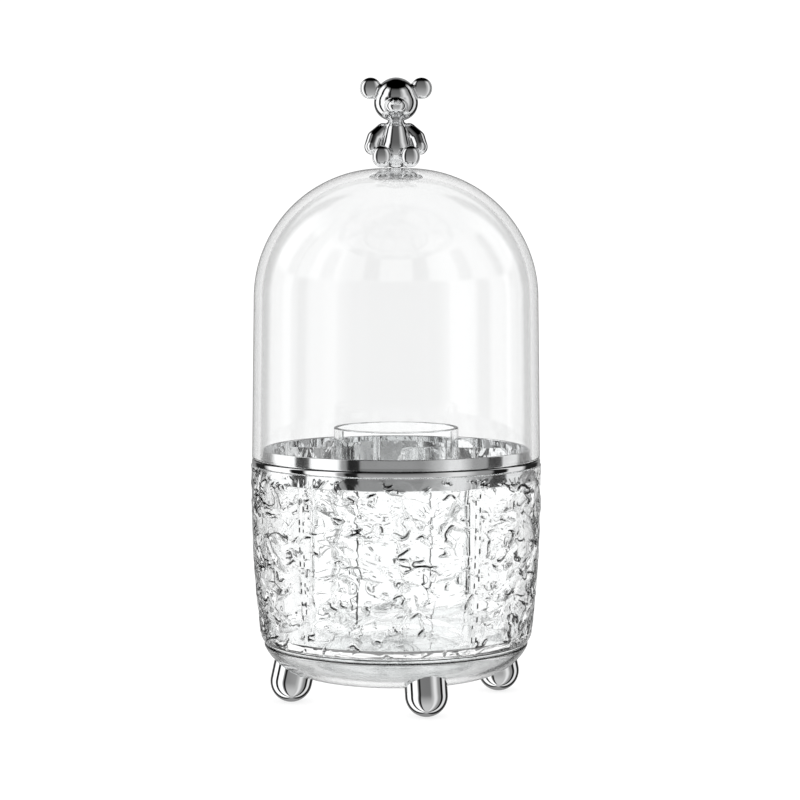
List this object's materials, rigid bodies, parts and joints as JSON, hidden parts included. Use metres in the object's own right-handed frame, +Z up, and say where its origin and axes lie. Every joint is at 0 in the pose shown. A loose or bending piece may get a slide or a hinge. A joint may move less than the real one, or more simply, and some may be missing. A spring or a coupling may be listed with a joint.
{
  "type": "rotating make-up organiser with dome cover",
  "caption": "Round footed make-up organiser: a rippled clear barrel turns on its base, holds a lift-out divider insert and a chrome collar, and a clear dome with a bear knob lifts off.",
  "frame": {"origin": "on the table under the middle of the organiser, at the height of the feet's lowest points", "axes": "+Z up along the axis the barrel turns on, -Y towards the front that the bear faces, +X to its left side"},
  "size_m": [0.14, 0.14, 0.2989],
  "materials": {
    "clear_shell": "clear polished moulded plastic",
    "clear_ripple": "clear moulded plastic with an irregular water-ripple skin outside and a polished inside",
    "clear_dome": "clear polished moulded plastic",
    "clear_insert": "clear polished moulded plastic",
    "clear_inner": "clear plastic glide parts, lightly matt where they rub",
    "chrome": "bright chrome plating"
  },
  "bodies": {
    "base": {"base_pan": "clear_shell", "foot_front": "chrome", "foot_right": "chrome", "foot_back": "chrome", "foot_left": "chrome", "turntable_ring": "clear_inner"},
    "barrel": {"barrel": "clear_ripple", "pivot_clip": "clear_inner", "collar_ring": "chrome"},
    "insert": {"insert_tube": "clear_insert", "divider_1": "clear_insert", "divider_2": "clear_insert", "divider_3": "clear_insert", "divider_4": "clear_insert", "divider_5": "clear_insert"},
    "cover": {"dome_cover": "clear_dome", "bear_knob": "chrome"}
  },
  "joints": [
    {"name": "barrel_spin", "type": "hinge", "parent": "base", "child": "barrel", "pos_m": [0, 0, 0.02], "axis": [0, 0, 1], "continuous": true},
    {"name": "insert_lift", "type": "slide", "parent": "barrel", "child": "insert", "axis": [0, 0, 1], "range_m": [0, 0.09]},
    {"name": "cover_lift", "type": "slide", "parent": "barrel", "child": "cover", "axis": [0, 0, 1], "range_m": [0, 0.2]}
  ]
}
